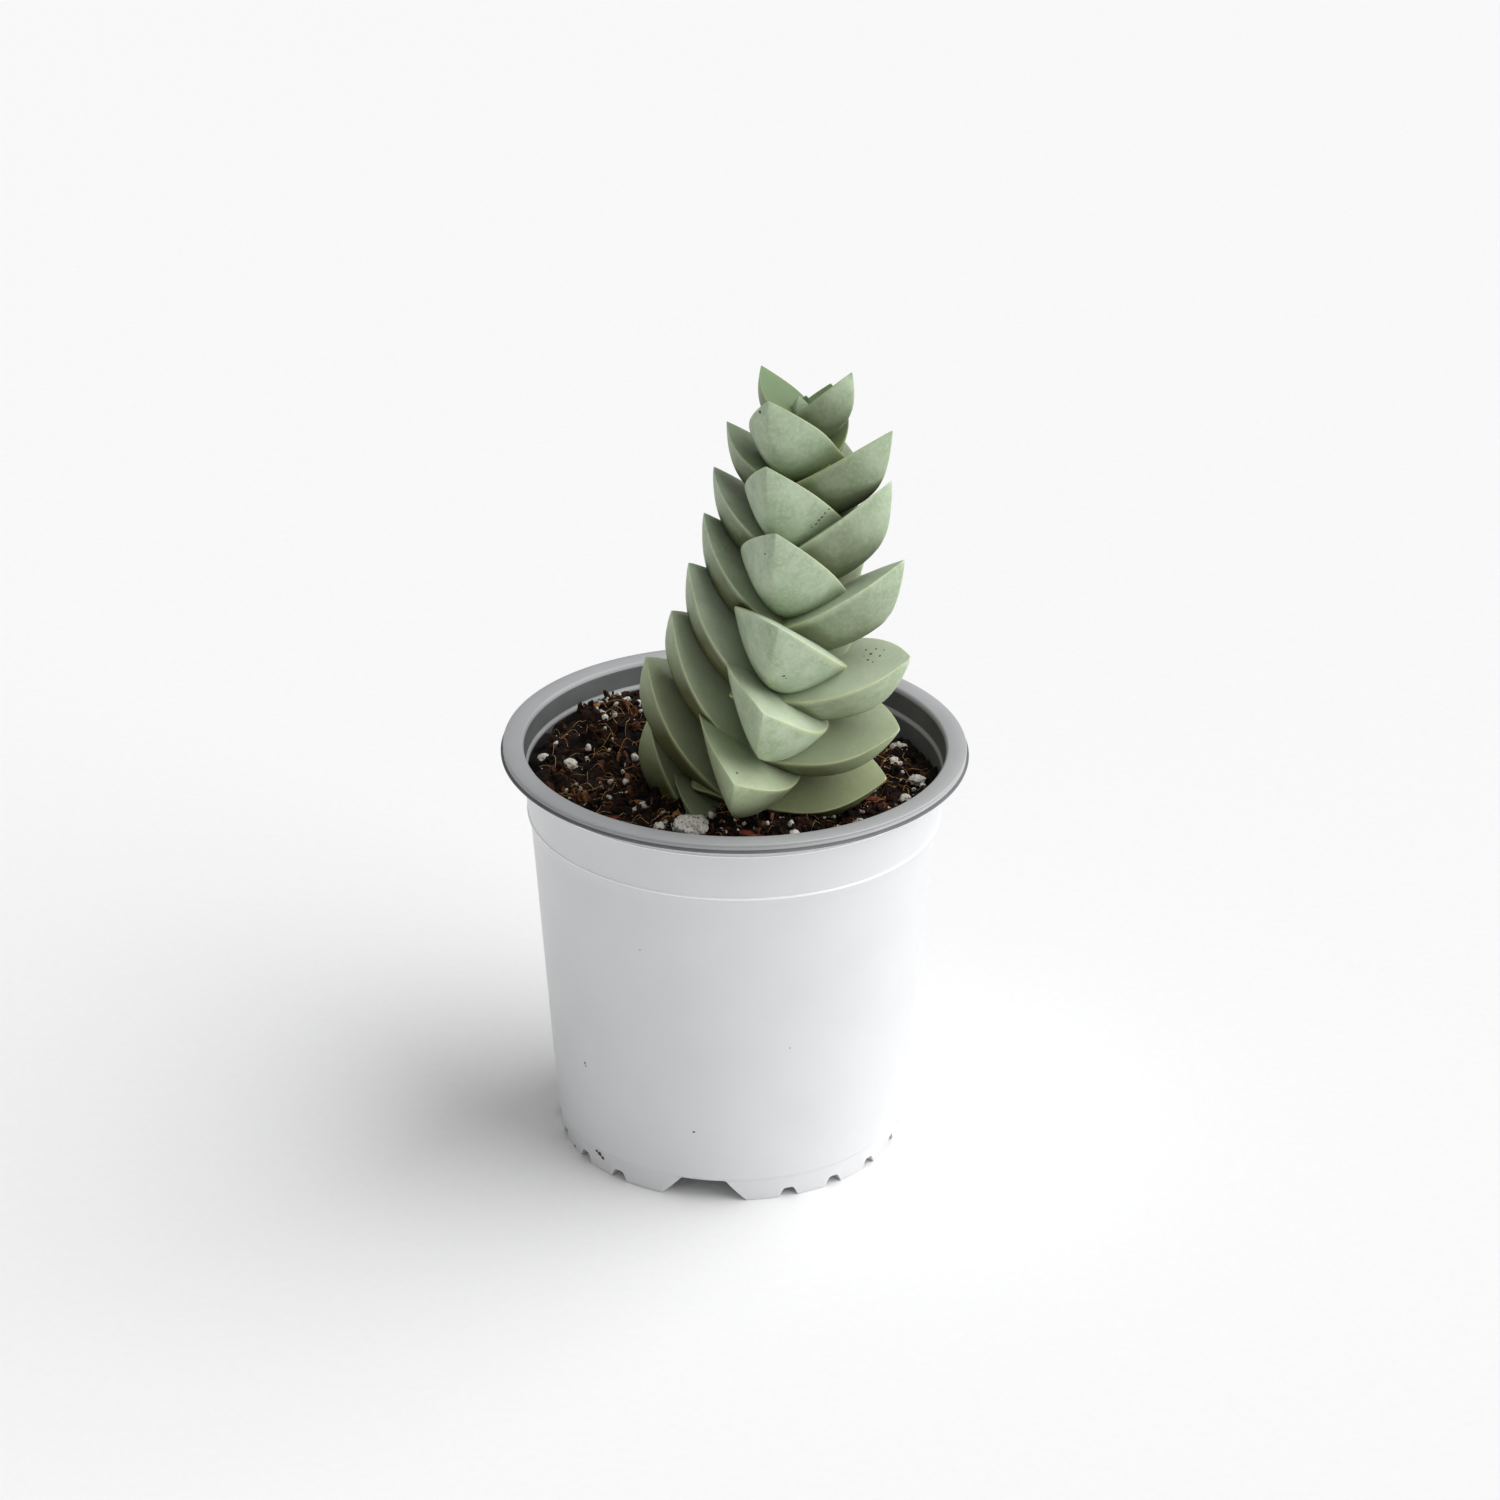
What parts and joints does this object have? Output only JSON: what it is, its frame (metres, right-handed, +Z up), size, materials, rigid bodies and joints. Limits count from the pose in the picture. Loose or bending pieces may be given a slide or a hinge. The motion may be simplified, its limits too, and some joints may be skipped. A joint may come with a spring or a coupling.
{
  "type": "potted crassula",
  "caption": "Succulent with a leaning column of fat keeled leaves stacked in crossed pairs, in a round white and grey plastic nursery pot of dark gritty soil.",
  "frame": {"origin": "centre of the pot's footprint, on the surface it stands on", "axes": "+Z up, -Y towards the side the picture was taken from, +X to the right"},
  "size_m": [0.105, 0.105, 0.1894],
  "materials": {
    "white_grey_plastic": "satin, white outside, grey flange and inside",
    "dark_potting_mix": "crumbly, damp, fibrous",
    "waxy_leaf": "matt grey-green with a pale bloom",
    "foamed_stone": "rough, pitted, off-white",
    "bark": "rough, reddish brown"
  },
  "bodies": {
    "root": {"pot": "white_grey_plastic", "soil": "dark_potting_mix", "leafy_stem": "waxy_leaf", "perlite_01": "foamed_stone", "perlite_02": "foamed_stone", "perlite_03": "foamed_stone", "perlite_04": "foamed_stone", "perlite_05": "foamed_stone", "perlite_06": "foamed_stone", "perlite_07": "foamed_stone", "perlite_08": "foamed_stone", "perlite_09": "foamed_stone", "perlite_10": "foamed_stone", "perlite_11": "foamed_stone", "perlite_12": "foamed_stone", "bark_chip_01": "bark", "bark_chip_02": "bark", "bark_chip_03": "bark", "bark_chip_04": "bark", "bark_chip_05": "bark"}
  },
  "joints": []
}
